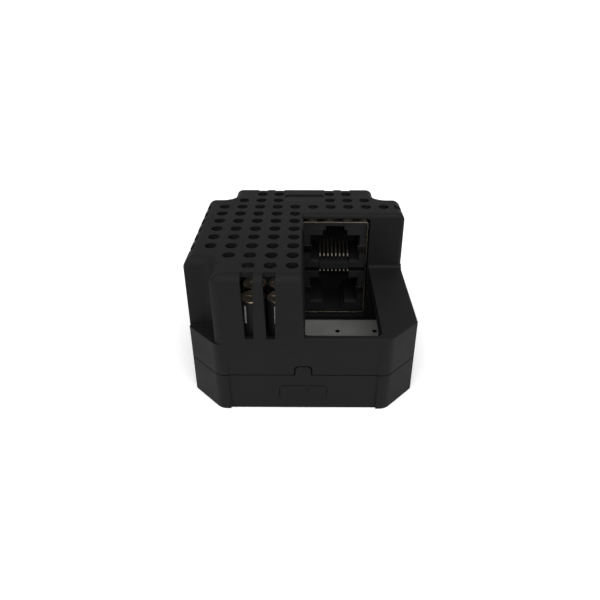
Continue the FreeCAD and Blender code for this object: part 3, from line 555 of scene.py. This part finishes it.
def etched_copper():
    """Rolled copper foil, etched and lacquered."""
    # Salmon-brown metal, darker where it has tarnished.
    material, tree, place = start("etched_copper")
    dress(tree, place, linear("b4714f"), rough=0.35, grain=0.3, depth=0.006, tone=0.16, mottle=2.0,
          gloss=0.16, edge_colour=linear("d79a78"), edge_mix=0.5, edge=0.08, metallic=1.0)
    return material


def studio_floor(colour):
    """Painted board, rolled matte."""
    # Plain and pale, with only the faintest roller texture.
    material, tree, place = start("painted_board")
    dress(tree, place, colour, rough=0.9, grain=2.5, depth=0.01, tone=0.01, mottle=60.0, gloss=0.05,
          edge_mix=0.0, specular_ior_level=0.1)
    return material


# ---- operators ------------------------------------------------------------------------------
class NETNODE_OT_case(bpy.types.Operator):
    """Dress the two case halves and their screws"""
    bl_idname = "netnode.case"
    bl_label = "Case"

    def execute(self, context):
        coat(moulded_case_plastic(context.scene.netnode_case), "top_shell", "base_cover")
        coat(oxide_steel(), "case_screws")
        return {"FINISHED"}


class NETNODE_OT_sockets(bpy.types.Operator):
    """Dress the stacked sockets"""
    bl_idname = "netnode.sockets"
    bl_label = "Sockets"

    def execute(self, context):
        settings = context.scene.netnode_sockets
        sheet = plated_sheet("nickel_plated_sheet", list(settings.sheet))
        coat(sheet, "jack_shield", "radio_can", "crystal")
        # Painted shade: the springs take the shield's finish in a darker colour.
        coat(plated_sheet("nickel_plated_spring_painted_shade", list(settings.shaded_spring)), "jack_ground_springs")
        insert = glass_filled_nylon("glass_filled_nylon_grey", list(settings.insert), 0.5)
        coat(insert, "jack_insert_upper", "jack_insert_lower", "jack_carrier")
        coat(gold_flash(list(settings.contact)), "jack_contacts_upper", "jack_contacts_lower",
             "aerial_sockets", "aerial_plugs")
        return {"FINISHED"}


class NETNODE_OT_boards(bpy.types.Operator):
    """Dress the boards, their pillars and their header"""
    bl_idname = "netnode.boards"
    bl_label = "Boards"

    def execute(self, context):
        settings = context.scene.netnode_inside
        pale = solder_mask("pale_solder_mask", list(settings.pale_mask), linear("72726f"), 0.5, 0.2)
        coat(pale, "main_board")
        green = solder_mask("green_solder_mask", list(settings.green_mask), linear("1f5a3a"), 0.32, 0.5)
        coat(green, "power_board", "side_aerial", "back_aerial")
        coat(turned_brass(), "board_spacers")
        # Painted shade: a black plug in each tooling hole, with a dark ring round its rim, stands in for
        # the shade down the hole.
        shade_plugs = bmesh.new()
        low, high = solids("main_board")[0]
        thick = (high.z - low.z) / MM
        shade_plug_outline = [(0.01, SHADE_PLUG_FLOOR), (SHADE_PLUG_BORE, SHADE_PLUG_FLOOR), (SHADE_PLUG_BORE, thick),
                  (SHADE_PLUG_RIM, thick), (SHADE_PLUG_RIM, thick + SKIN)]
        for x, y in TOOLING_HOLES:
            lathe(shade_plugs, Vector((x * MM, y * MM, low.z)), shade_plug_outline, 24)
        shade_plug_finish = glass_filled_nylon("painted_hole_shade", linear("060606"), 0.6)
        piece("tooling_hole_painted_shade", finish_mesh(shade_plugs, "tooling_hole_painted_shade"), shade_plug_finish,
              ROUND_SHADING)
        coat(zinc_plated_steel(), "spacer_screws")
        black = glass_filled_nylon("glass_filled_nylon_black", linear("1c1c1e"), 0.45)
        coat(black, "board_header", "header_socket", "reset_switch_body", "power_choke",
             "line_magnetics", "transformer_bobbin")
        natural = glass_filled_nylon("natural_nylon", linear("c9c7bf"), 0.42)
        coat(natural, "status_lamp", "reset_plunger")
        return {"FINISHED"}


class NETNODE_OT_capacitors(bpy.types.Operator):
    """Dress the cans and their sleeves and print their polarity bars"""
    bl_idname = "netnode.capacitors"
    bl_label = "Capacitors"

    def execute(self, context):
        settings = context.scene.netnode_inside
        film = shrink_film("shrunk_polyester_film", linear("141416"))
        coat(drawn_aluminium(list(settings.can_painted_warm_tint)), "capacitor_cans")
        coat(film, "capacitor_sleeves")
        ink = shrink_film("printed_polarity_bars", list(settings.bar), 0.4)
        bars = bmesh.new()
        for (low, high), turn in zip(solids("capacitor_sleeves"), BAR_FACING):
            self.bar(bars, low, high, math.radians(turn), settings.bar_width)
        piece("polarity_bars", finish_mesh(bars, "polarity_bars"), ink, ROUND_SHADING)
        return {"FINISHED"}

    def bar(self, bm, low, high, front, arc):
        """One printed bar that follows the round of a sleeve, turned from the front by an angle."""
        steps = 6
        radius = (high.x - low.x) / 2 + SKIN * MM
        middle = (low + high) / 2
        rows = []
        for z in (low.z + BAR_FOOT * MM, low.z + BAR_HEAD * MM):
            angles = [front + arc * (step / steps - 0.5) for step in range(steps + 1)]
            spots = [(middle.x + radius * math.sin(angle), middle.y - radius * math.cos(angle), z)
                     for angle in angles]
            rows.append([bm.verts.new(spot) for spot in spots])
        for step in range(steps):
            bm.faces.new((rows[0][step], rows[0][step + 1], rows[1][step + 1], rows[1][step]))


class NETNODE_OT_magnetics(bpy.types.Operator):
    """Dress the transformer"""
    bl_idname = "netnode.magnetics"
    bl_label = "Transformer"

    def execute(self, context):
        coat(ground_ferrite(), "transformer_core")
        coat(polyester_tape(), "transformer_winding")
        return {"FINISHED"}


class NETNODE_OT_chips(bpy.types.Operator):
    """Dress the chips, the cooling parts and the small parts, and give them their leads"""
    bl_idname = "netnode.chips"
    bl_label = "Chips"

    def execute(self, context):
        coat(chip_epoxy(), "processor", "power_chips", "radio_chips", "memory_chips")
        coat(filled_silicone(), "thermal_pad")
        coat(anodised_extrusion(), "heat_sink")
        coat(fired_ceramic(), "small_parts")
        tin = tinned()
        legs = bmesh.new()
        for node, pitch in (("power_chips", 1.27), ("memory_chips", 0.8)):
            for low, high in solids(node):
                self.gull_legs(legs, low, high, pitch * MM)
        piece("chip_legs", finish_mesh(legs, "chip_legs"), tin)
        pads = bmesh.new()
        for node, pitch in (("radio_chips", 0.5), ("processor", 0.65)):
            for low, high in solids(node):
                self.side_pads(pads, low, high, pitch * MM)
        piece("chip_side_pads", finish_mesh(pads, "chip_side_pads"), tin)
        caps = bmesh.new()
        for low, high in solids("small_parts"):
            self.end_caps(caps, low, high)
        piece("small_part_caps", finish_mesh(caps, "small_part_caps"), tin)
        joints = bmesh.new()
        header_low, header_high = solids("board_header")[0]
        board_top = solids("power_board")[0][1].z
        for pin in range(HEADER_JOINTS):
            y = header_high.y - (pin + 0.5) * HEADER_PITCH * MM
            centre = Vector(((header_low.x + header_high.x) / 2, y, board_top))
            lathe(joints, centre, JOINT_OUTLINE, 20)
        piece("header_joints", finish_mesh(joints, "header_joints"), tin, ROUND_SHADING)
        return {"FINISHED"}

    def gull_legs(self, bm, low, high, pitch):
        """Bent legs along the two long sides of a chip, from half way up to the board."""
        along = 0 if high.x - low.x >= high.y - low.y else 1
        across = 1 - along
        count = int((high[along] - low[along] - LEG_ROW_MARGIN * MM) / pitch)
        first = (low[along] + high[along] - (count - 1) * pitch) / 2
        foot = low.z + LEG_FOOT * MM
        rise = (low.z + high.z) / 2 - foot
        side = Vector()
        side[along] = LEG_HALF_WIDTH * pitch
        for edge, out in ((low[across], -1), (high[across], 1)):
            for leg in range(count):
                path = []
                for reach, height in LEG_PATH:
                    point = Vector((0, 0, foot + height * (rise if height == 1.0 else MM)))
                    point[along] = first + leg * pitch
                    point[across] = edge + out * reach * MM
                    path.append(point)
                ribbon(bm, path, side, LEG_THICK * MM)

    def side_pads(self, bm, low, high, pitch):
        """Small metal ends that show flush at the foot of a leadless chip."""
        proud, inset = PAD_PROUD * MM, PAD_INSET * MM
        for along in (0, 1):
            across = 1 - along
            count = int((high[along] - low[along] - 2 * inset) / pitch)
            first = (low[along] + high[along] - (count - 1) * pitch) / 2
            rows = ((low[across] - proud, low[across] + inset),
                    (high[across] - inset, high[across] + proud))
            for near, far in rows:
                for pad in range(count):
                    corner, opposite = Vector((0, 0, low.z)), Vector((0, 0, low.z + PAD_HEIGHT * MM))
                    corner[along] = first + (pad - 0.25) * pitch
                    opposite[along] = first + (pad + 0.25) * pitch
                    corner[across], opposite[across] = near, far
                    cuboid(bm, corner, opposite)

    def end_caps(self, bm, low, high):
        """The metal ends wrapped round a small fired part."""
        along = 0 if high.x - low.x >= high.y - low.y else 1
        length = high[along] - low[along]
        grow = Vector((CAP_PROUD, CAP_PROUD, CAP_PROUD)) * MM
        for at_far_end in (False, True):
            corner, opposite = low - grow, high + grow
            corner.z = low.z
            if at_far_end:
                corner[along] = high[along] - CAP_SHARE * length
            else:
                opposite[along] = low[along] + CAP_SHARE * length
            cuboid(bm, corner, opposite, CAP_ROUND * MM)


class NETNODE_OT_aerials(bpy.types.Operator):
    """Dress the aerial leads and the light pipe, and etch the aerials"""
    bl_idname = "netnode.aerials"
    bl_label = "Aerials"

    def execute(self, context):
        coat(lead_jacket(), "side_aerial_lead", "back_aerial_lead")
        coat(polished_acrylic(), "light_pipe")
        foil = etched_copper()
        traces = bmesh.new()
        for node, thin, face in (("side_aerial", 0, 1), ("back_aerial", 1, -1)):
            low, high = solids(node)[0]
            self.meander(traces, low, high, thin, face)
        piece("aerial_traces", finish_mesh(traces, "aerial_traces"), foil)
        return {"FINISHED"}

    def meander(self, bm, low, high, thin, face):
        """A folded track of foil on the inner face of a small aerial board."""
        along = 1 - thin
        proud = face * FOIL_PROUD * MM
        surface = high[thin] if face > 0 else low[thin]
        margin, width = FOIL_MARGIN * MM, FOIL_WIDTH * MM
        step = (high[along] - low[along] - 2 * margin - width) / (FOIL_FOLDS - 1)
        head, tail = high.z - margin, (low.z + high.z) / 2
        runs = []
        for fold in range(FOIL_FOLDS):
            edge = low[along] + margin + fold * step
            runs.append((edge, tail, edge + width, head))
            if fold < FOIL_FOLDS - 1:
                z = head - width if fold % 2 else tail
                runs.append((edge, z, edge + step + width, z + width))
        feed, foot = low[along] + margin, low.z + margin
        runs.append((feed, foot, feed + width, tail + width))
        runs.append((feed, foot, feed + 4 * width, foot + 2 * width))
        for run in runs:
            self.strip(bm, thin, surface, proud, run)

    def strip(self, bm, thin, surface, proud, edges):
        """One straight run of foil: its low and high ends along the board and up it."""
        corner, opposite = Vector((0, 0, edges[1])), Vector((0, 0, edges[3]))
        corner[thin], opposite[thin] = sorted((surface, surface + proud))
        corner[1 - thin], opposite[1 - thin] = edges[0], edges[2]
        cuboid(bm, corner, opposite)


class NETNODE_OT_stage(bpy.types.Operator):
    """Lay the floor and set the lights and the camera"""
    bl_idname = "netnode.stage"
    bl_label = "Studio"

    def execute(self, context):
        settings = context.scene.netnode_stage
        self.floor(settings)
        self.sky(context.scene, settings)
        self.lamps(settings)
        self.camera(context.scene, settings)
        return {"FINISHED"}

    def floor(self, settings):
        bm = bmesh.new()
        half = FLOOR_HALF * MM
        cuboid(bm, (-half, -half, -FLOOR_DEPTH * MM), (half, half, 0), FLOOR_ROUND * MM)
        mesh = finish_mesh(bm, "floor")
        floor = bpy.data.objects.new("floor", mesh)
        bpy.context.scene.collection.objects.link(floor)
        mesh.materials.append(studio_floor(list(settings.floor)))

    def sky(self, scene, settings):
        world = bpy.data.worlds.new("even_light")
        world.use_nodes = True
        world.node_tree.nodes["Background"].inputs["Color"].default_value = (1, 1, 1, 1)
        world.node_tree.nodes["Background"].inputs["Strength"].default_value = settings.sky
        scene.world = world
        scene.view_settings.view_transform = "Standard"

    def lamps(self, settings):
        # One very wide, soft source in front and above, so that nothing casts a hard shadow.
        lamp = bpy.data.lights.new("soft_front", "SUN")
        lamp.angle = settings.softness
        lamp.energy = settings.light
        holder = bpy.data.objects.new("soft_front", lamp)
        holder.rotation_euler = (settings.tilt, 0, 0)
        bpy.context.scene.collection.objects.link(holder)

    def camera(self, scene, settings):
        camera = bpy.data.cameras.new("camera")
        camera.sensor_width = 36
        camera.lens = settings.lens
        camera.shift_x, camera.shift_y = CAMERA_SHIFT
        camera.clip_start = NEAR_LIMIT * MM
        holder = bpy.data.objects.new("camera", camera)
        holder.location = Vector(CAMERA_PLACE) * MM
        holder.rotation_euler = (math.radians(CAMERA_TILT), 0, math.radians(CAMERA_TURN))
        scene.collection.objects.link(holder)
        scene.camera = holder


STEPS = (NETNODE_OT_stage, NETNODE_OT_case, NETNODE_OT_sockets, NETNODE_OT_boards,
         NETNODE_OT_capacitors, NETNODE_OT_magnetics, NETNODE_OT_chips, NETNODE_OT_aerials)


class NETNODE_PT_panel(bpy.types.Panel):
    """Lists the steps that dress the node"""
    bl_idname = "NETNODE_PT_panel"
    bl_label = "Network node"
    bl_space_type = "VIEW_3D"
    bl_region_type = "UI"
    bl_category = "Network node"

    def draw(self, context):
        for step in STEPS:
            self.layout.operator(step.bl_idname)
        for name in SETTINGS:
            group = getattr(context.scene, name)
            for key in group.bl_rna.properties.keys():
                if key not in ("rna_type", "name"):
                    self.layout.prop(group, key)


SETTINGS = {"netnode_case": CaseSettings, "netnode_sockets": SocketSettings,
            "netnode_inside": InsideSettings, "netnode_stage": StageSettings}


def register():
    for group in SETTINGS.values():
        bpy.utils.register_class(group)
    for kind in STEPS + (NETNODE_PT_panel,):
        bpy.utils.register_class(kind)
    for name, group in SETTINGS.items():
        setattr(bpy.types.Scene, name, PointerProperty(type=group))


def unregister():
    for name in SETTINGS:
        delattr(bpy.types.Scene, name)
    for kind in (NETNODE_PT_panel,) + STEPS[::-1]:
        bpy.utils.unregister_class(kind)
    for group in SETTINGS.values():
        bpy.utils.unregister_class(group)


def main():
    register()
    bpy.ops.netnode.stage()
    bpy.ops.netnode.case()
    bpy.ops.netnode.sockets()
    bpy.ops.netnode.boards()
    bpy.ops.netnode.capacitors()
    bpy.ops.netnode.magnetics()
    bpy.ops.netnode.chips()
    bpy.ops.netnode.aerials()


if __name__ == "__main__":
    main()
